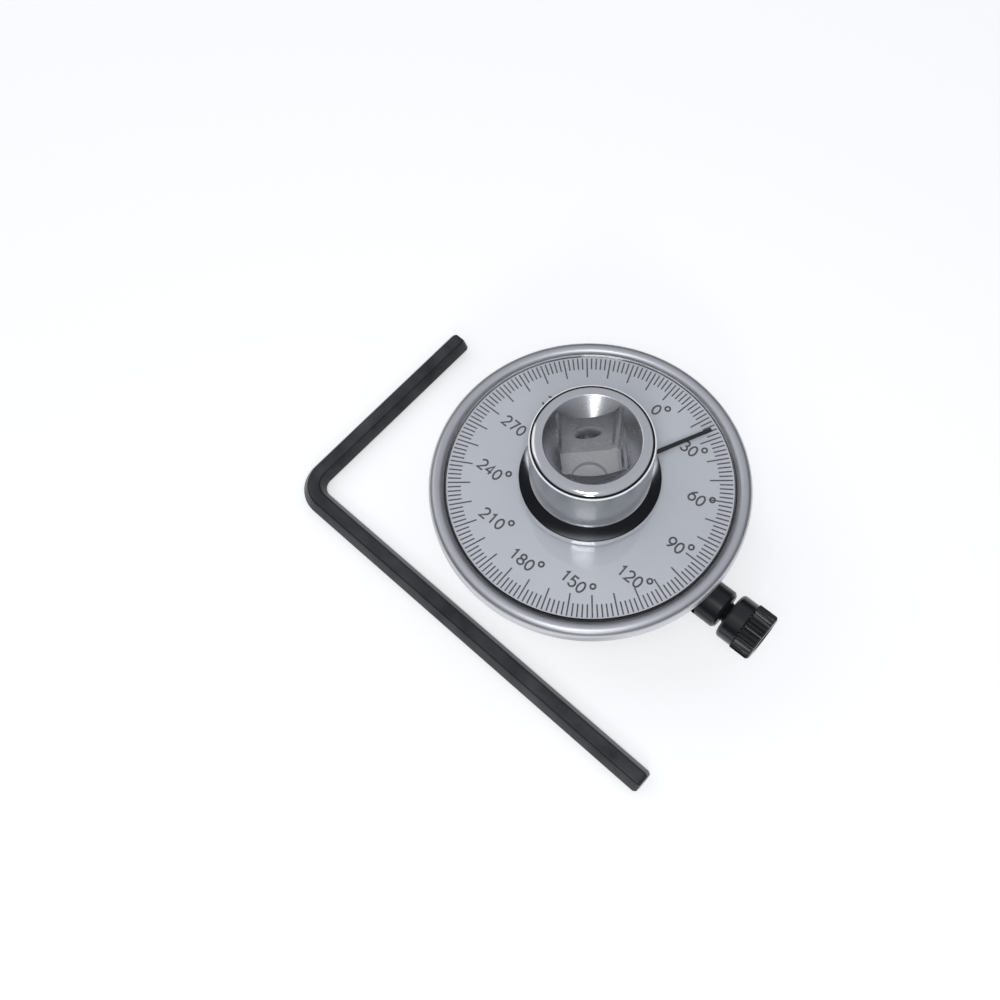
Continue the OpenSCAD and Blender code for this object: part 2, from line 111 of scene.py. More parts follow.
def close_mesh(mesh: Mesh, merge: float = 1e-7) -> None:
    """Merges doubled points, drops empty faces and turns the normals outwards."""
    work = bmesh.new()
    work.from_mesh(mesh)
    bmesh.ops.remove_doubles(work, verts=work.verts, dist=merge)
    bmesh.ops.dissolve_degenerate(work, edges=work.edges, dist=merge)
    bmesh.ops.recalc_face_normals(work, faces=work.faces)
    work.to_mesh(mesh)
    work.free()


def shade(mesh: Mesh, shading: Shading) -> None:
    """Shades a mesh smooth up to the given angle and sharp beyond it."""
    mesh.polygons.foreach_set("use_smooth", np.ones(len(mesh.polygons), dtype=bool))
    mesh.set_sharp_from_angle(angle=math.radians(shading.value))
    mesh.update()


def face_values(mesh: Mesh, name: str) -> Array:
    """A vector of each face, such as its center or normal, shape (n, 3)."""
    values = np.zeros(3 * len(mesh.polygons))
    mesh.polygons.foreach_get(name, values)
    return values.reshape(-1, 3)


def grid_faces(rows: int, columns: int, around_columns: bool = True) -> Array:
    """Quads of a grid of points stored row by row, with its columns joined end to end where asked."""
    i = np.arange(rows - 1)
    j = np.arange(columns if around_columns else columns - 1)
    a, b = np.meshgrid(i, j, indexing="ij")
    b2 = (b + 1) % columns
    low, high = a * columns, (a + 1) * columns
    return np.stack([low + b, high + b, high + b2, low + b2], axis=-1).reshape(-1, 4)


def rounded(points: Sequence[Sequence[float]], steps: int = 5, share: float = 0.48) -> Array:
    """Outline whose corners are rounded by quadratic arcs.

    Each corner P with radius r becomes the curve from P + r u to P + r v, pulled to P, where u and v
    point to its neighbours: (1-t)^2 A + 2t(1-t) P + t^2 B.

    Args:
        points: Rows of x, y and, unless the corner is sharp, its radius.
        steps: Points on each rounded corner.
        share: Largest part of a side that one corner takes up.

    Returns:
        The outline, shape (n, 2).
    """
    table = np.array([(*p, 0.0)[:3] for p in points], dtype=float)
    t = np.linspace(0.0, 1.0, steps)[:, None]
    parts = [table[:1, :2]]
    for before, here, after in zip(table[:-2], table[1:-1], table[2:]):
        p, back, ahead = here[:2], before[:2] - here[:2], after[:2] - here[:2]
        reach = min(here[2], share * np.linalg.norm(back), share * np.linalg.norm(ahead))
        if reach <= 0.0:
            parts.append(p[None, :])
            continue
        a = p + reach * back / np.linalg.norm(back)
        b = p + reach * ahead / np.linalg.norm(ahead)
        parts.append((1 - t) ** 2 * a + 2 * t * (1 - t) * p + t ** 2 * b)
    parts.append(table[-1:, :2])
    return np.concatenate(parts)


def unit(angles: Array) -> Array:
    """Points of the unit circle at angles in radians, shape (n, 2)."""
    return np.stack([np.cos(angles), np.sin(angles)], axis=-1)


def arc(center: Sequence[float], radius: float, start: float, stop: float, steps: int) -> Array:
    """Points of a circular arc between two angles in degrees, shape (steps, 2)."""
    return np.asarray(center) + radius * unit(np.radians(np.linspace(start, stop, steps)))


def bowed(low: Array, high: Array, radius: float, steps: int) -> Array:
    """Circular arc over the chord between two points of a half section.

    Args:
        low: First point, as radius and height.
        high: Last point.
        radius: Arc radius, above zero for a hollow and below zero for a swelling.
        steps: Points on the arc.

    Returns:
        The arc, shape (steps, 2).
    """
    chord = high - low
    span = float(np.linalg.norm(chord))
    back = math.copysign(math.sqrt(radius ** 2 - (span / 2) ** 2), radius)
    center = (low + high) / 2 + back * np.array([chord[1], -chord[0]]) / span
    start, stop = (math.degrees(math.atan2(p[1] - center[1], p[0] - center[0])) for p in (low, high))
    return arc(center, abs(radius), start, stop, steps)


def turned(profile: Array, angles: Array, limit: Optional[Array] = None) -> Surface:
    """Surface of revolution of a profile of (radius, height) about Z.

    The point at profile index i and angle a is (r cos a, r sin a, z), where r is the profile's radius,
    or the limit's where that is smaller.

    Args:
        profile: Outline, shape (n, 2).
        angles: Angles around the axis in radians, without a repeat at the end.
        limit: Largest radius at each profile point and angle, shape (n, len(angles)).

    Returns:
        Points and quads.
    """
    r = np.repeat(profile[:, :1], len(angles), axis=1)
    if limit is not None:
        r = np.minimum(r, limit)
    z = np.repeat(profile[:, 1:], len(angles), axis=1)
    points = np.stack([r * np.cos(angles), r * np.sin(angles), z], axis=-1).reshape(-1, 3)
    return points, grid_faces(len(profile), len(angles))


def around(count: int) -> Array:
    """Evenly spaced angles of a full turn, in radians."""
    return np.linspace(0.0, 2 * math.pi, count, endpoint=False)


def bar(radius: float, length: float, sides: int) -> Surface:
    """Closed round bar about +Z that starts at the origin."""
    return turned(rounded([(0.0, 0.0), (radius, 0.0), (radius, length), (0.0, length)]), around(sides))


def prism(outline: Array, low: float, high: float) -> tuple[Array, list]:
    """Closed prism over an outline in the XY plane, between two heights."""
    n = len(outline)
    points = np.concatenate([np.column_stack([outline, np.full(n, z)]) for z in (low, high)])
    return points, grid_faces(2, n).tolist() + [list(range(n))[::-1], list(range(n, 2 * n))]


def lay_along_x(points: Array, x: float, z: float) -> Array:
    """Turns points made about +Z so that their axis runs along +X from (x, 0, z)."""
    return np.stack([points[:, 2] + x, points[:, 1], z - points[:, 0]], axis=-1)


def turn_z(points: Array, degrees: float) -> Array:
    """Turns points about Z."""
    c, s = math.cos(math.radians(degrees)), math.sin(math.radians(degrees))
    return points @ np.array([[c, -s, 0.0], [s, c, 0.0], [0.0, 0.0, 1.0]]).T


def subtract(obj: Object, cutters: Sequence[Object], shading: Shading) -> None:
    """Cuts closed cutters out of a closed piece, stores the result in its mesh and removes the cutters."""
    for cutter in cutters:
        cut = obj.modifiers.new(cutter.name, "BOOLEAN")
        cut.operation = "DIFFERENCE"
        cut.solver = "EXACT"
        cut.object = cutter
    graph = bpy.context.evaluated_depsgraph_get()
    result = bpy.data.meshes.new_from_object(obj.evaluated_get(graph))
    obj.modifiers.clear()
    obj.data = result
    for cutter in cutters:
        bpy.data.objects.remove(cutter)
    shade(result, shading)


# Shader tools


class Graph:
    """Nodes of a material, a group or the world, with short calls to add and join them."""

    def __init__(self, tree: Tree) -> None:
        """Takes the nodes to work on.

        Args:
            tree: The node tree.
        """
        self.tree = tree

    def node(self, kind: str, inputs: Optional[dict] = None, **settings: object) -> Node:
        """Adds a node.

        Args:
            kind: Node type, without the words that all types start with.
            inputs: Its inputs by name or number, each with a socket to join or a plain value.
            settings: Its properties.

        Returns:
            The node.
        """
        made = self.tree.nodes.new("ShaderNode" + kind)
        for key, value in settings.items():
            setattr(made, key, value)
        self.feed(made, inputs or {})
        return made

    def feed(self, node: Node, inputs: dict) -> None:
        """Joins sockets to a node's inputs, or gives them plain values."""
        for key, value in inputs.items():
            if isinstance(value, Socket):
                self.tree.links.new(value, node.inputs[key])
            else:
                node.inputs[key].default_value = value

    def math(self, operation: str, *values: object) -> Socket:
        """Adds a math node whose operands are sockets or numbers, and gives its result."""
        return self.node("Math", dict(enumerate(values)), operation=operation).outputs[0]

    def mix(self, factor: Socket, first: object, second: object) -> Socket:
        """Mixes two colours and gives the result."""
        return self.node("Mix", {0: factor, 6: first, 7: second}, data_type="RGBA").outputs[2]


class Shader(Graph):
    """A material under construction."""

    def __init__(self, name: str, **values: object) -> None:
        """Starts a material with a Principled shader.

        Args:
            name: Material name.
            values: Plain values of the shader, with spaces written as underscores.
        """
        self.material = bpy.data.materials.new(name)
        self.material.use_nodes = True
        super().__init__(self.material.node_tree)
        self.main = self.tree.nodes["Principled BSDF"]
        self.feed(self.main, {key.replace("_", " "): value for key, value in values.items()})

    def place(self, group: Tree, values: dict) -> Material:
        """Places a shared node group and links what it puts out to the main shader.

        Args:
            group: The group.
            values: Plain values of its inputs.

        Returns:
            The finished material.
        """
        made = self.node("Group", values, node_tree=group)
        self.feed(self.main, {output.name: output for output in made.outputs})
        return self.material

    def show(self, shader: Node) -> Material:
        """Puts a shader node on the surface and gives the finished material."""
        self.feed(self.tree.nodes["Material Output"], {"Surface": shader.outputs[0]})
        return self.material


class GroupMaker(Graph):
    """A shader node group under construction."""

    CLOUD_DETAIL = 4.0
    FINE_DETAIL = 2.0
    BUMP_MM = 0.02

    def __init__(self, name: str, inputs: dict, outputs: dict) -> None:
        """Makes the group's sockets.

        Args:
            name: Group name.
            inputs: Socket name to its default, a number or a colour.
            outputs: Socket name to its socket type.
        """
        super().__init__(bpy.data.node_groups.new(name, "ShaderNodeTree"))
        for key, value in inputs.items():
            kind = "NodeSocketFloat" if isinstance(value, float) else "NodeSocketColor"
            socket = self.tree.interface.new_socket(key, in_out="INPUT", socket_type=kind)
            socket.default_value = value
        for key, kind in outputs.items():
            self.tree.interface.new_socket(key, in_out="OUTPUT", socket_type=kind)
        self.inside = self.tree.nodes.new("NodeGroupInput").outputs
        self.outside = self.tree.nodes.new("NodeGroupOutput")
        self.object_place = self.node("TexCoord").outputs["Object"]

    def noise(self, scale: Socket, detail: float, place: Socket) -> Socket:
        """Adds a noise texture on the given coordinates and gives its value."""
        return self.node("TexNoise", {"Detail": detail, "Scale": scale, "Vector": place}).outputs["Fac"]

    def roughen(self, cloud: Socket) -> None:
        """Puts out a roughness that swings about its middle with a cloud."""
        swing = self.math("SUBTRACT", cloud, 0.5)
        rough = self.math("MULTIPLY_ADD", swing, self.inside["Roughness Swing"], self.inside["Roughness"])
        self.feed(self.outside, {"Roughness": rough})

    def bump(self, height: Socket, strength: Socket) -> None:
        """Puts out a normal made from a height."""
        inputs = {"Distance": self.BUMP_MM * MM, "Strength": strength, "Height": height}
        self.feed(self.outside, {"Normal": self.node("Bump", inputs).outputs["Normal"]})


def clouded_group(wear_gain: float = 1.4, wear_cut: float = -0.35) -> Tree:
    """Clouded metal or paint: a colour and roughness that vary, a grain, and pale wear on marked edges.

    Args:
        wear_gain: How strongly the clouds break up the wear.
        wear_cut: How much of the wear they take away.

    Returns:
        The group.
    """
    made = GroupMaker(
        "clouded_surface",
        {
            "Color": (0.5, 0.5, 0.5, 1.0), "Cloud Color": (0.4, 0.4, 0.4, 1.0),
            "Wear Color": (0.6, 0.6, 0.6, 1.0), "Roughness": 0.3, "Roughness Swing": 0.1,
            "Cloud Scale": 60.0, "Grain Scale": 3000.0, "Grain": 0.1, "Wear": 0.0,
        },
        {"Base Color": "NodeSocketColor", "Roughness": "NodeSocketFloat", "Normal": "NodeSocketVector"},
    )
    cloud = made.noise(made.inside["Cloud Scale"], made.CLOUD_DETAIL, made.object_place)
    grain = made.noise(made.inside["Grain Scale"], made.FINE_DETAIL, made.object_place)
    edge = made.node("Attribute", attribute_name="wear").outputs["Fac"]
    broken = made.math("MULTIPLY_ADD", cloud, wear_gain, wear_cut)
    wear = made.math("MULTIPLY", made.math("MULTIPLY", edge, broken), made.inside["Wear"])
    tinted = made.mix(cloud, made.inside["Color"], made.inside["Cloud Color"])
    worn = made.mix(made.math("MINIMUM", wear, 1.0), tinted, made.inside["Wear Color"])
    made.feed(made.outside, {"Base Color": worn})
    made.roughen(cloud)
    made.bump(grain, made.inside["Grain"])
    return made.tree


def turned_lines_group() -> Tree:
    """Fine rings left by a lathe, around Z: noise on the radius and the height."""
    made = GroupMaker(
        "turned_lines",
        {"Roughness": 0.25, "Roughness Swing": 0.2, "Line Scale": 6000.0, "Depth": 0.1, "Haze Scale": 90.0},
        {"Roughness": "NodeSocketFloat", "Normal": "NodeSocketVector"},
    )
    x, y, z = made.node("SeparateXYZ", {0: made.object_place}).outputs
    flat = made.node("CombineXYZ", {0: x, 1: y}).outputs[0]
    radius = made.node("VectorMath", {0: flat}, operation="LENGTH").outputs["Value"]
    rings = made.node("CombineXYZ", {0: radius, 1: z}).outputs[0]
    lines = made.noise(made.inside["Line Scale"], made.FINE_DETAIL, rings)
    made.roughen(made.noise(made.inside["Haze Scale"], made.CLOUD_DETAIL, made.object_place))
    made.bump(lines, made.inside["Depth"])
    return made.tree


@dataclass(frozen=True)
class CloudedFinish:
    """A finish made with the shared clouded surface: black oxide, bronze, rubber, paint or print."""

    name: str
    color: Color
    cloud: Color
    worn: Color = (0.55, 0.56, 0.58, 1.0)
    metallic: float = 0.0
    roughness: float = 0.4
    swing: float = 0.15
    cloud_scale: float = 70.0
    grain_scale: float = 3500.0
    grain: float = 0.12
    wear: float = 0.0
    specular: float = 0.5

    def build(self, group: Tree) -> Material:
        """Makes the material.

        Args:
            group: The shared clouded surface.

        Returns:
            The material.
        """
        return Shader(self.name, Metallic=self.metallic, Specular_IOR_Level=self.specular).place(group, {
            "Color": self.color, "Cloud Color": self.cloud, "Wear Color": self.worn,
            "Roughness": self.roughness, "Roughness Swing": self.swing, "Cloud Scale": self.cloud_scale,
            "Grain Scale": self.grain_scale, "Grain": self.grain, "Wear": self.wear,
        })


@dataclass(frozen=True)
class TurnedFinish:
    """Bare or plated metal with lathe lines."""

    name: str
    color: Color
    roughness: float
    swing: float
    depth: float
    line_scale: float = 6000.0
    haze_scale: float = 90.0

    def build(self, group: Tree) -> Material:
        """Makes the material.

        Args:
            group: The shared turned lines.

        Returns:
            The material.
        """
        return Shader(self.name, Base_Color=self.color, Metallic=1.0).place(group, {
            "Roughness": self.roughness, "Roughness Swing": self.swing, "Line Scale": self.line_scale,
            "Depth": self.depth, "Haze Scale": self.haze_scale,
        })


@dataclass(frozen=True)
class ClearFinish:
    """Clear plastic that lets the lamps through to what lies under it."""

    name: str = "clear_lens"
    color: Color = (0.97, 0.98, 0.99, 1.0)
    roughness: float = 0.03
    ior: float = 1.49

    def build(self) -> Material:
        """Makes the material."""
        shader = Shader(
            self.name, Base_Color=self.color, Roughness=self.roughness, IOR=self.ior, Transmission_Weight=1.0,
        )
        shadow = shader.node("LightPath").outputs["Is Shadow Ray"]
        open_way = shader.node("BsdfTransparent", {"Color": self.color}).outputs[0]
        return shader.show(shader.node("MixShader", {0: shadow, 1: shader.main.outputs[0], 2: open_way}))


TURNED = (
    TurnedFinish("chrome", (0.80, 0.81, 0.83, 1.0), 0.11, 0.05, 0.03),
    TurnedFinish("ground_chrome", (0.72, 0.73, 0.75, 1.0), 0.30, 0.08, 0.12),
    TurnedFinish("satin_aluminium", (0.66, 0.67, 0.70, 1.0), 0.42, 0.10, 0.16),
    TurnedFinish("bright_steel", (0.58, 0.59, 0.61, 1.0), 0.22, 0.12, 0.1),
    TurnedFinish("spring_steel", (0.22, 0.23, 0.25, 1.0), 0.3, 0.12, 0.08),
)
CLOUDED = (
    # Painted shade: chrome darkened for the head's side and the male square; only its satin roughness is the
    # real finish.
    CloudedFinish(
        "satin_chrome", (0.46, 0.47, 0.48, 1.0), (0.40, 0.41, 0.42, 1.0), metallic=1.0, roughness=0.25,
        swing=0.10, cloud_scale=260.0, grain_scale=2500.0, grain=0.15,
    ),
    # Painted light: chrome lightened for the walls inside the socket's recess.
    CloudedFinish(
        "broached_chrome", (0.69, 0.70, 0.72, 1.0), (0.59, 0.60, 0.62, 1.0), metallic=1.0, roughness=0.27,
        swing=0.10, cloud_scale=260.0, grain_scale=2500.0, grain=0.15,
    ),
    # Painted light: a pale matte white on the socket floor that stands in for light falling into the socket.
    CloudedFinish(
        "cast_floor", (0.97, 0.97, 0.98, 1.0), (0.72, 0.72, 0.74, 1.0), roughness=0.45, swing=0.2,
        cloud_scale=2200.0, grain_scale=3000.0, grain=1.0,
    ),
    CloudedFinish(
        "bronze", (0.48, 0.31, 0.12, 1.0), (0.36, 0.22, 0.08, 1.0), metallic=1.0, roughness=0.38,
        cloud_scale=400.0,
    ),
    CloudedFinish(
        "dial_white", (0.59, 0.60, 0.64, 1.0), (0.56, 0.57, 0.61, 1.0), roughness=0.42, swing=0.06,
        cloud_scale=45.0, grain=0.05,
    ),
    CloudedFinish(
        "print_black", (0.012, 0.012, 0.016, 1.0), (0.03, 0.03, 0.036, 1.0), roughness=0.5,
        cloud_scale=600.0,
    ),
    CloudedFinish(
        "black_rubber", (0.015, 0.015, 0.017, 1.0), (0.03, 0.03, 0.032, 1.0), roughness=0.6, grain=0.3,
    ),
    CloudedFinish(
        "black_oxide", (0.014, 0.015, 0.018, 1.0), (0.028, 0.03, 0.034, 1.0), metallic=0.25,
        roughness=0.34, swing=0.2, grain=0.2, wear=0.5,
    ),
    CloudedFinish(
        "black_knob", (0.012, 0.012, 0.014, 1.0), (0.022, 0.023, 0.026, 1.0), roughness=0.24, swing=0.12,
        grain=0.18, wear=0.25,
    ),
    CloudedFinish(
        "black_rod", (0.008, 0.009, 0.011, 1.0), (0.014, 0.015, 0.018, 1.0), roughness=0.33, swing=0.12,
        cloud_scale=140.0, grain=0.25, wear=0.2, specular=0.4,
    ),
)


def make_finishes() -> Finishes:
    """Builds the shared groups, and every finish once."""
    clouded, lines = clouded_group(), turned_lines_group()
    made = {finish.name: finish.build(clouded) for finish in CLOUDED}
    made.update({finish.name: finish.build(lines) for finish in TURNED})
    made["clear_lens"] = ClearFinish().build()
    return made


def dress(obj: Object, material: Material) -> None:
    """Gives an object one material."""
    obj.data.materials.clear()
    obj.data.materials.append(material)


def settle(obj: Object, material: Material, body: Body, slot: str, *nodes: str) -> None:
    """Dresses a new piece, lets it ride on its body and hides the CAD nodes that it stands for.

    Args:
        obj: The piece.
        material: Its finish.
        body: The body it moves with.
        slot: Not used.
        nodes: CAD nodes that it replaces.
    """
    dress(obj, material)
    if nodes:
        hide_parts(*nodes)
    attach(obj, body.value)
    LOG.info("%s: %d faces on %s", obj.name, len(obj.data.polygons), body.value)


# The gauge


class SubAssembly:
    """A group of pieces that is made together."""

    def build(self, finishes: Finishes) -> None:
        """Makes the pieces.

        Args:
            finishes: The materials.
        """
        raise NotImplementedError


@dataclass
class Spindle(SubAssembly):
    """Chrome drive spindle: male square, journal, neck, flange and head with the female square."""

    drive_af: float = 12.7
    drive_len: float = 15.0
    corner_r: float = 8.4
    tip_chamfer: float = 1.4
    turn: float = 45.0
    journal_r: float = 8.5
    groove: Triple = (7.9, 16.1, 17.5)
    shoulder_z: float = 30.7
    neck_r: float = 10.0
    ring_groove: Triple = (9.3, 33.08, 34.32)
    flange_z: float = 34.4
    flange_r: float = 14.9
    flange_t: float = 2.0
    flare_r: float = 30.0
    flare_h: float = 2.3
    flare_cut: int = 2
    foot_line: Pair = (0.3, 0.6)
    head_r: float = 12.6
    head_z: float = 53.2
    head_chamfer: float = 1.5
    head_bow: float = -1.72
    socket_af: float = 12.82
    socket_z: float = 34.6
    mouth_r: float = 9.8
    mouth_depth: float = 3.39
    lip: float = 0.2
    broken_edge: float = 0.15
    neck_edge: float = 0.2
    flange_edge: float = 0.3
    line_edge: float = 0.06
    line_lip: float = 0.12
    relief_r: float = 0.8
    relief_inset: float = 0.45
    relief_steps: int = 17
    recess: Triple = (4.0, 0.8, 0.3)
    recess_seam: float = 0.01
    recess_over: float = 0.5
    socket_over: float = 1.0
    ball_r: float = 2.5
    ball_play: float = 0.05
    ball_z: float = 7.5
    detent_floor: float = -2.65
    dimple_drop: float = 9.5
    dimple_depth: float = 1.0
    dimple_r: float = 5.5
    mouth_skin: float = 0.05
    top_skin: float = 0.02
    level: float = 0.9
    segments: int = 240

    @property
    def foot_z(self) -> float:
        """Height at which the flare meets the head's side."""
        return self.flange_z + self.flange_t + self.flare_h

    def profile(self) -> Array:
        """Half section from the end face to the bottom of the countersink, with broken edges."""
        foot_z, mouth_z = self.foot_z, self.head_z - self.mouth_depth
        flange_top = (self.flange_r, self.flange_z + self.flange_t)
        flare = bowed(np.array(flange_top), np.array([self.head_r, foot_z]), self.flare_r, 20)
        shoulder = np.array([self.head_r, self.head_z - self.head_chamfer])
        edge = bowed(shoulder, np.array([self.head_r - self.head_chamfer, self.head_z]), self.head_bow, 16)
        line_depth, line_h = self.foot_line
        line_r = self.head_r - line_depth
        groove_r, groove_low, groove_high = self.groove
        ring_r, ring_low, ring_high = self.ring_groove
        lower = rounded([
            (0.0, 0.0), (self.corner_r - self.tip_chamfer, 0.0, self.broken_edge),
            (self.corner_r, self.tip_chamfer, self.broken_edge), (self.corner_r, self.drive_len),
            (self.journal_r, self.drive_len), (self.journal_r, groove_low), (groove_r, groove_low),
            (groove_r, groove_high), (self.journal_r, groove_high), (self.journal_r, self.shoulder_z),
            (self.neck_r, self.shoulder_z, self.neck_edge), (self.neck_r, ring_low), (ring_r, ring_low),
            (ring_r, ring_high), (self.neck_r, ring_high), (self.neck_r, self.flange_z),
            (self.flange_r, self.flange_z, self.broken_edge), (*flange_top, self.flange_edge),
            flare[self.flare_cut],
        ])
        upper = rounded([
            (self.head_r, foot_z), (line_r, foot_z + self.line_edge, self.line_edge),
            (line_r, foot_z + line_h - self.line_edge, self.line_edge),
            (self.head_r, foot_z + line_h, self.line_lip), *edge, (self.mouth_r, self.head_z, self.lip),
            (self.socket_af / 2, mouth_z), (0.0, mouth_z),
        ])
        return np.concatenate([lower, flare[self.flare_cut + 1:], upper])

    def square_limit(self, profile: Array, angles: Array) -> Array:
        """Largest radius inside the male square at each height and angle, and no limit above it."""
        a = angles - math.radians(self.turn)
        flat = self.drive_af / 2 / np.maximum(np.abs(np.cos(a)), np.abs(np.sin(a)))
        low = profile[:, 1] <= self.drive_len
        low[np.argmax(profile[:, 1] >= self.drive_len) + 1:] = False
        return np.where(low[:, None], flat[None, :], np.inf)

    def angles(self) -> Array:
        """Angles around the spindle, with a pair at each edge where a flat meets a turned corner."""
        edge = math.acos(self.drive_af / 2 / self.corner_r)
        quarter = np.array([-edge, edge])[None, :] + (np.arange(4) * math.pi / 2)[:, None]
        extra = (quarter + math.radians(self.turn)).ravel() % (2 * math.pi)
        return np.unique(np.round(np.concatenate([around(self.segments), extra]), 9))

    def socket_outline(self) -> Array:
        """Square with a round relief at each corner, counter-clockwise."""
        middle = self.socket_af / 2 - self.relief_inset
        edge = math.degrees(math.acos(self.relief_inset / self.relief_r))
        relief = arc((middle, middle), self.relief_r, -edge, 90.0 + edge, self.relief_steps)
        flat = np.column_stack([relief, np.zeros(len(relief))])
        return np.concatenate([turn_z(flat, 90.0 * k)[:, :2] for k in range(4)])

    def cutters(self) -> list[Object]:
        """Solids that are cut out: the female square, its recess and dimples, and the detent's bore."""
        points, faces = prism(self.socket_outline(), self.socket_z, self.head_z + self.socket_over)
        made = [mesh_object("cut_square", turn_z(points, self.turn), faces, Shading.MILLED)]
        radius, depth, taper = self.recess
        low, high = self.socket_z - depth, self.socket_z + self.recess_over
        floor = rounded([
            (0.0, low), (radius - taper, low), (radius, self.socket_z + self.recess_seam),
            (radius, high), (0.0, high),
        ])
        made.append(mesh_object("cut_recess", *turned(floor, around(64)), Shading.TURNED))
        ball, quads = turned(arc((0.0, 0.0), self.dimple_r, -90.0, 90.0, 49), around(96))
        at = self.socket_af / 2 + self.dimple_depth - self.dimple_r
        ball = ball + np.array([at, 0.0, self.head_z - self.dimple_drop])
        for k in range(4):
            dimple = turn_z(ball, self.turn + 90.0 * k)
            made.append(mesh_object(f"cut_dimple_{k}", dimple, quads, Shading.ROUND))
        points, quads = bar(self.ball_r + self.ball_play, self.drive_af, 48)
        points = turn_z(lay_along_x(points, self.detent_floor, self.ball_z), self.turn - 90.0)
        made.append(mesh_object("cut_detent", points, quads, Shading.TURNED))
        return made

    def build(self, finishes: Finishes) -> None:
        """Makes the spindle."""
        profile, angles = self.profile(), self.angles()
        points, quads = turned(profile, angles, self.square_limit(profile, angles))
        spindle = mesh_object("spindle_body", points, quads, Shading.TURNED)
        subtract(spindle, self.cutters(), Shading.TURNED)
        settle(spindle, finishes["chrome"], Body.SPINDLE, "chrome", "drive_spindle")
        self.dress_faces(spindle.data, finishes)

    def dress_faces(self, mesh: Mesh, finishes: Finishes) -> None:
        """Gives the top ring its ground finish, and paints shade on the head's side and male square and light
        in the socket.

        Args:
            mesh: The finished spindle.
            finishes: The materials.
        """
        x, y, z = face_values(mesh, "center").T / MM
        level = face_values(mesh, "normal")[:, 2] > self.level
        reach, inner_r = np.hypot(x, y), self.mouth_r + self.relief_r
        above = z > self.socket_z - 2 * self.recess[1]
        # Painted light: the socket walls get the lightened chrome.
        inside = above & (reach < inner_r) & (z < self.head_z - self.mouth_skin)
        # Painted light: the socket floor gets the pale matte white.
        floor = inside & level & (z < self.socket_z + self.recess_over)
        top = (z > self.head_z - self.top_skin) & level
        side_z = self.foot_z + self.foot_line[1]
        side = (reach > inner_r) & (z > side_z) & (z < self.head_z - self.head_chamfer)
        # Painted shade: the head's side and the male square get the darkened chrome.
        satin_and_shaded = side | (z < self.drive_len)
        for name in ("ground_chrome", "satin_chrome", "broached_chrome", "cast_floor"):
            mesh.materials.append(finishes[name])
        index = np.select([floor, inside, satin_and_shaded, top], [4, 3, 2, 1], 0)
        mesh.polygons.foreach_set("material_index", index.astype(np.int32))


@dataclass
class DetentSpring(SubAssembly):
    """Coil spring behind the detent ball, made at one length; the real one shortens as the ball is pressed
    in.
    """

    floor_x: float = -2.65
    axis_z: float = 7.5
    turn: float = -45.0
    length: float = 5.0
    travel: float = 1.2
    outer_r: float = 1.95
    wire_r: float = 0.3
    turns: int = 5
    rings: int = 161
    sides: int = 12

    def placed(self, points: Array) -> Array:
        """Moves points made about +Z from the origin to the detent's bore."""
        return turn_z(lay_along_x(points, self.floor_x, self.axis_z), self.turn)

    def build(self, finishes: Finishes) -> None:
        """Sweeps the wire's circle up a helix, whose turn and height grow evenly along the coil."""
        share = np.linspace(0.0, 1.0, self.rings)[:, None]
        a = 2 * math.pi * self.turns * share
        height = self.wire_r + (self.length - 2 * self.wire_r) * share
        ring = around(self.sides)[None, :]
        reach = self.outer_r - self.wire_r + self.wire_r * np.cos(ring)
        rise = height + self.wire_r * np.sin(ring)
        tube = np.stack([reach * np.cos(a), reach * np.sin(a), rise], axis=-1)
        first, last = (np.repeat(tube[k].mean(axis=0)[None, None, :], self.sides, axis=1) for k in (0, -1))
        points = np.concatenate([first, tube, last]).reshape(-1, 3)
        quads = grid_faces(self.rings + 2, self.sides)
        spring = mesh_object("coil_spring", self.placed(points), quads, Shading.ROUND)
        settle(spring, finishes["spring_steel"], Body.SPINDLE, "spring_steel", "detent_spring")
        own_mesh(spring)


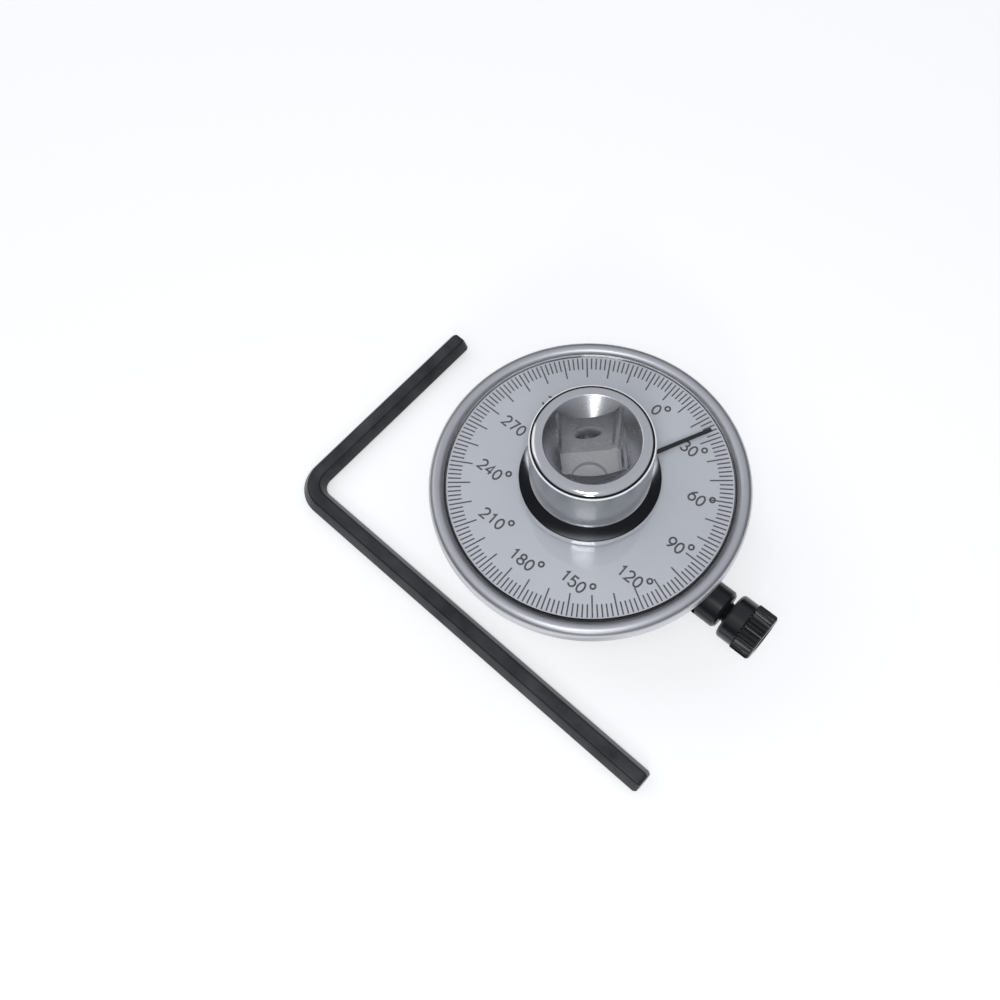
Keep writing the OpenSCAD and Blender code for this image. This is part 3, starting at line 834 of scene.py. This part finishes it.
@dataclass
class Housing(SubAssembly):
    """Satin silver housing with its rounded rim."""

    rim_r: float = 34.0
    rim_w: float = 3.3
    rim_top: float = 34.3
    rim_chamfer: float = 1.0
    rim_edge: Pair = (0.2, 0.3)
    pan_z: float = 29.5
    seat_z: float = 31.5
    hub_r: float = 22.0
    hub_z: float = 15.6
    hub_fillet: float = 2.5
    hub_chamfer: float = 0.8
    hub_edge: float = 0.15
    recess_r: float = 14.0
    recess_top: float = 20.6
    bush_r: float = 10.97
    upper_seat: float = 29.6
    upper_r: float = 12.97
    spot_x: float = 21.2
    spot_r: float = 5.507
    shank_r: float = 2.52
    shank_in: float = 5.42
    clamp_z: float = 19.5
    segments: int = 256

    def profile(self) -> Array:
        """Closed half section: up the outside, over the round rim, across the pan and down the bore."""
        round_r = self.rim_w / 2
        round_z = self.rim_top - round_r
        inner_r = self.rim_r - self.rim_w
        fillet_r, fillet_z = self.hub_r + self.hub_fillet, self.pan_z - self.hub_fillet
        low_edge, high_edge = self.rim_edge
        outside = rounded([
            (self.recess_r, self.hub_z), (self.hub_r - self.hub_chamfer, self.hub_z, self.hub_edge),
            (self.hub_r, self.hub_z + self.hub_chamfer, self.hub_edge), (self.hub_r, fillet_z),
        ])
        fillet = arc((fillet_r, fillet_z), self.hub_fillet, 180.0, 90.0, 10)
        edge = rounded([
            (fillet_r, self.pan_z), (self.rim_r - self.rim_chamfer, self.pan_z, low_edge),
            (self.rim_r, self.pan_z + self.rim_chamfer, high_edge), (self.rim_r, round_z),
        ])
        top = arc((self.rim_r - round_r, round_z), round_r, 0.0, 180.0, 25)
        inside = rounded([
            (inner_r, round_z), (inner_r, self.seat_z), (self.upper_r, self.seat_z),
            (self.upper_r, self.upper_seat), (self.bush_r, self.upper_seat),
            (self.bush_r, self.recess_top), (self.recess_r, self.recess_top),
        ])
        return np.concatenate([outside, fillet, edge, top, inside, outside[:1]])

    def build(self, finishes: Finishes) -> None:
        """Makes the housing with the clamp's seat and hole."""
        body = mesh_object("housing_body", *turned(self.profile(), around(self.segments)), Shading.TURNED)
        cutters = []
        for name, radius, x in (
            ("cut_spot", self.spot_r, self.spot_x), ("cut_shank", self.shank_r, self.spot_x - self.shank_in),
        ):
            points, quads = bar(radius, self.rim_r, 64)
            cutters.append(mesh_object(name, lay_along_x(points, x, self.clamp_z), quads, Shading.TURNED))
        subtract(body, cutters, Shading.TURNED)
        settle(body, finishes["satin_aluminium"], Body.HOUSING, "satin_aluminium", "dial_housing")


class Digits:
    """Single-stroke numerals, one unit tall, drawn as lines and arcs."""

    WIDTH = 0.62
    STEPS = 20

    @classmethod
    def oval(
        cls, x: float, y: float, rx: float, ry: float, start: float = 90.0, stop: float = 450.0,
    ) -> Array:
        """Points of an oval arc."""
        return np.array([x, y]) + arc((0.0, 0.0), 1.0, start, stop, cls.STEPS) * [rx, ry]

    @classmethod
    def curve(cls, a: Sequence[float], b: Sequence[float], c: Sequence[float]) -> Array:
        """Points of a quadratic curve from a to c, pulled to b."""
        t = np.linspace(0.0, 1.0, cls.STEPS)[:, None]
        return (1 - t) ** 2 * np.asarray(a) + 2 * t * (1 - t) * np.asarray(b) + t ** 2 * np.asarray(c)

    @classmethod
    def strokes(cls, digit: str) -> list[Array]:
        """Strokes of one numeral, or of the degree ring.

        Args:
            digit: A digit, or the letter o for the degree ring.

        Returns:
            Lines of points in the unit box.
        """
        w = cls.WIDTH
        six = [cls.oval(0.31, 0.31, 0.31, 0.31), cls.curve((0.50, 1.0), (0.06, 0.72), (0.0, 0.31))]
        hook = cls.oval(0.31, 0.70, 0.30, 0.30, 165.0, -35.0)
        belly = cls.oval(0.29, 0.32, 0.32, 0.32, 125.0, -150.0)
        table = {
            "0": [cls.oval(0.31, 0.5, 0.31, 0.5)],
            "1": [np.array([(0.12, 0.80), (0.36, 1.0), (0.36, 0.0)])],
            "2": [np.concatenate([hook, [(0.0, 0.0), (w, 0.0)]])],
            "3": [
                cls.oval(0.29, 0.755, 0.26, 0.245, 150.0, -90.0),
                cls.oval(0.29, 0.265, 0.32, 0.265, 90.0, -150.0),
            ],
            "4": [np.array([(0.46, 0.0), (0.46, 1.0), (0.0, 0.28), (w, 0.28)])],
            "5": [np.concatenate([[(0.56, 1.0), (0.11, 1.0), (0.06, 0.56)], belly])],
            "6": six,
            "7": [np.array([(0.0, 1.0), (w, 1.0), (0.22, 0.0)])],
            "8": [cls.oval(0.31, 0.765, 0.25, 0.235), cls.oval(0.31, 0.265, 0.31, 0.265)],
            "9": [np.array([w, 1.0]) - s for s in six],
            "o": [cls.oval(0.22, 1.22, 0.23, 0.23)],
        }
        return table[digit]


def ribbon(line: Array, width: float, least: float = 0.5) -> Surface:
    """Flat ribbon along a line: each point is moved by half the width to both sides of the mean direction.

    Args:
        line: Points, shape (n, 2).
        width: Width of the ribbon.
        least: Smallest cosine at a bend, which keeps sharp corners short.

    Returns:
        Points and quads in the plane.
    """
    closed = np.allclose(line[0], line[-1])
    step = np.diff(line, axis=0)
    step = step / np.linalg.norm(step, axis=1, keepdims=True)
    first, last = (step[-1:], step[:1]) if closed else (step[:1], step[-1:])
    mean = np.concatenate([first, step]) + np.concatenate([step, last])
    mean = mean / np.linalg.norm(mean, axis=1, keepdims=True)
    slant = np.sum(mean * np.concatenate([first, step]), axis=1, keepdims=True)
    side = np.stack([-mean[:, 1], mean[:, 0]], axis=-1) * (width / 2) / np.maximum(slant, least)
    points = np.stack([line + side, line - side], axis=1).reshape(-1, 2)
    return points, grid_faces(len(line), 2, False)


@dataclass
class DialPrint(SubAssembly):
    """Black print of the dial: graduations every two degrees and the numbers of every thirty."""

    face_z: float = 33.0
    lift: float = 0.015
    scale_r: float = 29.9
    step: int = 2
    group: int = 5
    short: float = 2.8
    long: float = 4.8
    tick_w: float = 0.32
    number_r: float = 22.1
    number_h: float = 2.35
    number_w: float = 0.96
    gap: float = 0.24
    stroke: float = 0.42
    nudge: Triple = (0.4, 0.9, 0.3)
    sunk: dict[int, Pair] = field(
        default_factory=lambda: {300: (0.9, -2.0), 330: (0.3, -1.2)}
    )
    numbers: tuple[int, ...] = tuple(range(0, 360, 30))

    def ticks(self) -> Surface:
        """Graduations as one array of quads: a long one for every fifth, counted clockwise from +Y."""
        count = 360 // self.step
        i = np.arange(count)
        a = np.radians(90.0 - self.step * i)
        reach = np.where(i % self.group == 0, self.long, self.short)
        out = unit(a)
        side = np.stack([-np.sin(a), np.cos(a)], axis=-1) * self.tick_w / 2
        near, far = out * (self.scale_r - reach)[:, None], out * self.scale_r
        corners = np.stack([near - side, far - side, far + side, near + side], axis=1).reshape(-1, 2)
        return corners, np.arange(4 * count).reshape(-1, 4)

    def number(self, value: int) -> Surface:
        """One number with its degree ring, centred on its place and upright along X.

        Args:
            value: Degrees, clockwise from +Y.

        Returns:
            Points and quads in the plane.
        """
        pitch = Digits.WIDTH * self.number_w + self.gap
        span = pitch * len(str(value)) - self.gap
        out = unit(np.radians(90.0 - value))
        plain, inward, upward = self.nudge
        shift = np.array([plain + inward * max(0.0, -out[0]), upward * out[1]])
        place = self.number_r * out + shift + self.sunk.get(value, (0.0, 0.0))
        points, quads, total = [], [], 0
        for k, sign in enumerate(f"{value}o"):
            for line in Digits.strokes(sign):
                sized = (line * [self.number_w, 1.0] - [0.0, 0.5]) * self.number_h
                sized = sized + [(k * pitch - span / 2) * self.number_h, 0.0]
                body, faces = ribbon(sized + place, self.stroke)
                points.append(body)
                quads.append(faces + total)
                total += len(body)
        return np.concatenate(points), np.concatenate(quads)

    def lay(self, name: str, flat: Array, quads: Array, finishes: Finishes) -> None:
        """Lays flat points just above the dial face, facing up, and settles them.

        Args:
            name: Object name.
            flat: Points in the plane.
            quads: Faces.
            finishes: The materials.
        """
        points = np.column_stack([flat, np.full(len(flat), self.face_z + self.lift)])
        made = mesh_object(name, points, quads, Shading.ROUND)
        if face_values(made.data, "normal")[:, 2].sum() < 0:
            made.data.flip_normals()
        settle(made, finishes["print_black"], Body.HOUSING, "pointer_black")

    def build(self, finishes: Finishes) -> None:
        """Makes the print."""
        self.lay("scale_print", *self.ticks(), finishes)
        for value in self.numbers:
            self.lay(f"number_{value:03d}", *self.number(value), finishes)


@dataclass
class ThumbKnob(SubAssembly):
    """Black knob with a plain collar and a straight knurl, on its threaded screw."""

    start_x: float = 38.4
    axis_z: float = 19.5
    radius: float = 5.5
    collar: float = 4.0
    collar_step: float = 0.25
    collar_edge: Triple = (0.2, 0.3, 0.1)
    length: float = 8.6
    ridges: int = 36
    steps: int = 8
    knurl: float = 0.42
    knurl_slope: float = 1.6
    knurl_start: float = 0.3
    knurl_seam: float = 0.01
    knurl_share: float = 0.8
    chamfer: float = 0.5
    face_edge: float = 0.2
    dish_r: float = 3.25
    dish_h: float = 0.4
    dish_slope: float = 0.15
    dish_edge: float = 0.1
    bore_play: float = 0.02
    screw_r: float = 2.45
    screw_start: float = 33.967
    screw_stop: float = 44.8
    pitch: float = 0.8
    pitch_steps: int = 10
    thread: float = 0.3
    run_out: float = 0.4
    screw_sides: int = 48

    def build(self, finishes: Finishes) -> None:
        """Makes the knob, whose knurl is a clipped triangle wave around it, and its screw."""
        outer, floor = self.radius - self.collar_step, self.length - self.dish_h
        low_edge, high_edge, step_edge = self.collar_edge
        profile = rounded([
            (self.screw_r + self.bore_play, 0.0), (outer - self.chamfer, 0.0, low_edge),
            (outer, self.chamfer, high_edge), (outer, self.collar, step_edge), (self.radius, self.collar),
            (self.radius, self.collar + self.knurl_start), (self.radius, self.length - self.chamfer),
            (self.radius - self.chamfer, self.length, self.face_edge),
            (self.dish_r + self.dish_slope, self.length, self.dish_slope),
            (self.dish_r, floor, self.dish_edge), (0.0, floor),
        ])
        angles = around(self.ridges * self.steps)
        wave = np.abs(((angles * self.ridges / (2 * math.pi)) % 1.0) * 2.0 - 1.0)
        wide = profile[:, 0] > self.radius - self.knurl_share * self.chamfer
        grip = (profile[:, 1] > self.collar + self.knurl_seam) & wide
        grooves = self.radius - self.knurl * np.minimum(self.knurl_slope * wave, 1.0)
        points, quads = turned(profile, angles, np.where(grip[:, None], grooves[None, :], np.inf))
        points = lay_along_x(points, self.start_x, self.axis_z)
        knob = mesh_object("thumb_knob", points, quads, Shading.TURNED)
        settle(knob, finishes["black_knob"], Body.KNOB, "black_knob", "knob")
        self.screw(finishes)

    def screw(self, finishes: Finishes) -> None:
        """Makes the screw: its radius falls with the triangle wave of height minus turns times the pitch.

        Args:
            finishes: The materials.
        """
        span = self.screw_stop - self.screw_start
        heights = np.linspace(0.0, span, int(span / self.pitch * self.pitch_steps))[:, None]
        angles = around(self.screw_sides)
        turns = heights / self.pitch - angles[None, :] / (2 * math.pi)
        cut = self.thread * np.abs((turns % 1.0) * 2.0 - 1.0)
        fade = np.clip(np.minimum(heights, span - heights) / self.run_out, 0.0, 1.0)
        radius = self.screw_r - cut - self.run_out * (1.0 - fade)
        rise = np.repeat(heights, len(angles), axis=1)
        walls = np.stack([radius * np.cos(angles), radius * np.sin(angles), rise], axis=-1)
        low, high = (np.zeros((1, len(angles), 3)) + [0.0, 0.0, z] for z in (0.0, span))
        points = np.concatenate([low, walls, high]).reshape(-1, 3)
        points = lay_along_x(points, self.screw_start, self.axis_z)
        screw = mesh_object("knob_screw", points, grid_faces(len(heights) + 2, len(angles)), Shading.ROUND)
        settle(screw, finishes["black_oxide"], Body.KNOB, "black_oxide", "thumb_screw")


@dataclass
class ReactionRod(SubAssembly):
    """Black hexagon rod bent to an L, lying on a flat side beside the gauge."""

    across_flats: float = 5.0
    corner_x: float = -59.8
    corner_y: float = -33.7
    short_tip: float = 21.413
    long_tip: float = 45.313
    bend: float = 5.5
    turn: float = -1.5
    chamfer: float = 0.7
    edge_r: float = 0.35
    end_insets: Pair = (0.55, 0.35)
    end_crown: float = 0.06
    tip: float = 1e-4
    steps: tuple[int, int, int] = (30, 25, 50)
    wear_peak: float = 1.2
    wear_width: float = 22.0
    upright: float = 89.0

    def section(self) -> Array:
        """Hexagon with rounded edges in the plane across the rod."""
        outer = self.across_flats / 2 / math.cos(math.pi / 6)
        corners = outer * unit(around(6))
        loop = np.concatenate([corners[-1:], corners, corners[:1]])
        return rounded(np.column_stack([loop, np.full(len(loop), self.edge_r)]))[1:-1]

    def path(self) -> Surface:
        """Centreline from the short tip round the bend to the long tip, with the way to the left."""
        x0, y0, b = self.corner_x, self.corner_y, self.bend
        short, bent, long = self.steps
        down = np.linspace(self.short_tip, y0 + b, short)[:-1]
        right = np.linspace(x0 + b, self.long_tip, long)[1:]
        line = np.concatenate([
            np.column_stack([np.full(len(down), x0), down]), arc((x0 + b, y0 + b), b, 180.0, 270.0, bent),
            np.column_stack([right, np.full(len(right), y0)]),
        ])
        a = np.radians(np.concatenate([
            np.full(len(down), 180.0), np.linspace(180.0, 270.0, bent), np.full(len(right), 270.0),
        ]))
        return line, unit(a)

    def build(self, finishes: Finishes) -> None:
        """Sweeps the hexagon along the centreline, with a chamfered and closed end on each leg."""
        outline = self.section()
        line, side = self.path()
        height = self.across_flats / 2
        ends = np.array([self.tip, *(height - inset for inset in self.end_insets)])
        shrink = np.concatenate([ends / height, np.ones(len(line)), ends[::-1] / height])
        start, stop = line[0].copy(), line[-1].copy()
        crown = np.array([0.0, 0.0, self.end_crown])[:, None]
        first = start + crown * np.array([[0.0, -1.0]])
        last = stop + crown[::-1] * np.array([[-1.0, 0.0]])
        line[0] = start + [0.0, -self.chamfer]
        line[-1] = stop + [-self.chamfer, 0.0]
        line = np.concatenate([first, line, last])
        side = np.concatenate([np.repeat(side[:1], 3, axis=0), side, np.repeat(side[-1:], 3, axis=0)])
        flat = line[:, None, :] + side[:, None, :] * (shrink[:, None] * outline[None, :, 0])[..., None]
        up = height + shrink[:, None] * outline[None, :, 1]
        points = np.concatenate([flat, up[..., None]], axis=-1).reshape(-1, 3)
        corner = np.array([self.corner_x, self.corner_y, 0.0])
        points = turn_z(points - corner, self.turn) + corner
        rod = mesh_object("hexagon_rod", points, grid_faces(len(line), len(outline)), Shading.MILLED)
        self.mark_edges(rod.data)
        settle(rod, finishes["black_rod"], Body.ROD, "black_rod", "reaction_rod")

    def mark_edges(self, mesh: Mesh) -> None:
        """Marks wear where the surface bends most: 1 at a point whose normal lies between two flats."""
        normals = np.zeros(3 * len(mesh.vertices))
        mesh.vertices.foreach_get("normal", normals)
        tilt = np.degrees(np.arcsin(np.clip(normals[2::3], -1.0, 1.0)))
        away = np.abs((tilt + 30.0) % 60.0 - 30.0)
        wear = np.clip(self.wear_peak - np.abs(away - 30.0) / self.wear_width, 0.0, 1.0)
        layer = mesh.attributes.new("wear", "FLOAT", "POINT")
        layer.data.foreach_set("value", (wear * (np.abs(tilt) < self.upright)).astype(np.float32))


# Dressing of the frame's own nodes, staging and view


NODE_FINISHES = {
    "bright_steel": ("detent_ball", "thrust_washer"),
    "black_rubber": ("friction_ring", "dial_seal"),
    "bronze": ("upper_bush", "lower_bush", "pressure_pad"),
    "spring_steel": ("wave_washer", "retaining_clip"),
    "black_oxide": ("clamp_post", "lock_nut"),
    "dial_white": ("dial_plate",),
    "clear_lens": ("lens",),
    "print_black": ("pointer",),
}


def dress_nodes(finishes: Finishes) -> None:
    """Gives each CAD node that stays in view its finish."""
    for finish, names in NODE_FINISHES.items():
        for name in names:
            dress(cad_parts[name], finishes[finish])
            LOG.info("%s: %s", name, finish)


@dataclass(frozen=True)
class Lamp:
    """A square soft lamp: its place and side in metres, and its power in watts."""

    name: str
    place: Triple
    size: float
    power: float

    def build(self, aim: Vector) -> None:
        """Makes the lamp.

        Args:
            aim: Point that it faces, in metres.
        """
        data = bpy.data.lights.new(self.name, "AREA")
        data.size, data.energy = self.size, self.power
        made = bpy.data.objects.new(self.name, data)
        made.location = self.place
        made.rotation_euler = (aim - Vector(self.place)).to_track_quat("-Z", "Y").to_euler()
        bpy.context.scene.collection.objects.link(made)


@dataclass
class Studio:
    """White floor and backdrop, soft lamps, and a dark wall and pale tent that only mirrors show."""

    floor_half: float = 3000.0
    floor_drop: float = 0.02
    floor_glow: float = 0.55
    floor_color: Color = (0.86, 0.86, 0.87, 1.0)
    wall_r: float = 300.0
    wall_h: float = 130.0
    tent_r: float = 1200.0
    dark: Color = (0.012, 0.013, 0.016, 1.0)
    pale: Color = (0.46, 0.475, 0.51, 1.0)
    dusk: Pair = (0.40, 0.60)
    aim: Triple = (0.0, 0.0, 0.03)
    lamps: tuple[Lamp, ...] = (
        Lamp("key", (-0.62, -0.12, 0.52), 0.45, 0.36),
        Lamp("front", (0.26, -0.36, 0.36), 0.08, 0.20),
        Lamp("flash", (0.075, -0.121, 0.357), 0.09, 0.20),
    )

    def seen(self, graph: Graph) -> Socket:
        """A mask that is 1 for rays from the camera, mirrors and clear pieces, and 0 for stray light.

        Args:
            graph: The material's or the world's nodes.

        Returns:
            The mask.
        """
        path = graph.node("LightPath").outputs
        mask = path["Is Camera Ray"]
        for name in ("Is Glossy Ray", "Is Transmission Ray"):
            mask = graph.math("MAXIMUM", mask, path[name])
        return graph.math("MULTIPLY", mask, graph.math("LESS_THAN", path["Diffuse Depth"], 0.5))

    def sky(self, graph: Graph, coordinate: str, top: float) -> Socket:
        """Colour that is dark near the horizon and pale overhead.

        Args:
            graph: The material's or the world's nodes.
            coordinate: Texture coordinate whose height is read.
            top: Height of the zenith in that coordinate.

        Returns:
            The colour.
        """
        place = graph.node("TexCoord").outputs[coordinate]
        height = graph.node("SeparateXYZ", {0: place}).outputs[2]
        ramp = graph.node("ValToRGB", {0: graph.math("DIVIDE", height, top)})
        for stop, position, color in zip(ramp.color_ramp.elements, self.dusk, (self.dark, self.pale)):
            stop.position, stop.color = position, color
        return ramp.outputs[0]

    def floor_material(self) -> Material:
        """Matte white that takes shadows, with a share of plain white for rays that are seen."""
        shader = Shader("floor_white", Base_Color=self.floor_color, Roughness=0.9, Specular_IOR_Level=0.1)
        glow = shader.math("MULTIPLY", self.seen(shader), self.floor_glow)
        light = shader.node("Emission", {"Strength": glow}).outputs[0]
        return shader.show(shader.node("AddShader", {0: shader.main.outputs[0], 1: light}))

    def tent_material(self) -> Material:
        """Glow of the tent, dark below and pale above."""
        shader = Shader("tent_cloth")
        return shader.show(shader.node("Emission", {"Color": self.sky(shader, "Object", self.tent_r * MM)}))

    def mirrored(self, name: str, profile: Array, material: Material) -> None:
        """A round staging piece that is seen in polished metal only.

        Args:
            name: Object name.
            profile: Half section in millimetres.
            material: Its material.
        """
        made = mesh_object(name, *turned(profile, around(96)), Shading.ROUND)
        dress(made, material)
        made.visible_camera = made.visible_diffuse = False
        made.visible_shadow = made.visible_transmission = False

    def build(self) -> None:
        """Makes the floor, the wall, the tent, the lamps and the world."""
        h, z = self.floor_half, -self.floor_drop
        corners = np.array([(-h, -h, z), (h, -h, z), (h, h, z), (-h, h, z)])
        floor = mesh_object("floor", corners, [[0, 1, 2, 3]], Shading.ROUND)
        dress(floor, self.floor_material())
        black = Shader("wall_black", Base_Color=self.dark, Roughness=1.0).material
        self.mirrored("dark_wall", np.array([(self.wall_r, 0.0), (self.wall_r, self.wall_h)]), black)
        self.mirrored("tent", arc((0.0, 0.0), self.tent_r, 0.0, 90.0, 33), self.tent_material())
        for lamp in self.lamps:
            lamp.build(Vector(self.aim))
        self.world()

    def world(self) -> None:
        """Makes a world that lights the gauge from overhead and shows as plain white."""
        world = bpy.data.worlds.new("studio")
        world.use_nodes = True
        graph = Graph(world.node_tree)
        color = graph.mix(self.seen(graph), self.sky(graph, "Generated", 1.0), WHITE)
        graph.feed(graph.tree.nodes["Background"], {"Color": color})
        bpy.context.scene.world = world


@dataclass
class PhotoCamera:
    """Camera of the photograph, in millimetres of the gauge's frame."""

    place: Triple = (57.02, -80.32, 246.74)
    aim: Triple = (-11.85, -15.12, 33.0)
    roll: float = -6.35
    lens: float = 40.13
    sensor: float = 36.0
    clip_m: float = 0.01

    def build(self) -> None:
        """Makes the camera and turns it about its line of sight by the roll."""
        data = bpy.data.cameras.new("camera")
        data.lens, data.sensor_width, data.clip_start = self.lens, self.sensor, self.clip_m
        made = bpy.data.objects.new("camera", data)
        place, aim = Vector(self.place) * MM, Vector(self.aim) * MM
        look = (aim - place).to_track_quat("-Z", "Y").to_matrix().to_4x4()
        roll = Matrix.Rotation(math.radians(self.roll), 4, "Z")
        made.matrix_world = Matrix.Translation(place) @ look @ roll
        bpy.context.scene.collection.objects.link(made)
        bpy.context.scene.camera = made


def main() -> None:
    """Builds the gauge, its stage and its camera."""
    logging.basicConfig(level=logging.INFO, format="%(name)s %(message)s")
    bpy.context.scene.view_settings.view_transform = "Standard"
    PhotoCamera().build()
    finishes = make_finishes()
    dress_nodes(finishes)
    for part in (Spindle(), DetentSpring(), Housing(), DialPrint(), ThumbKnob(), ReactionRod()):
        part.build(finishes)
    Studio().build()


if __name__ == "__main__":
    main()
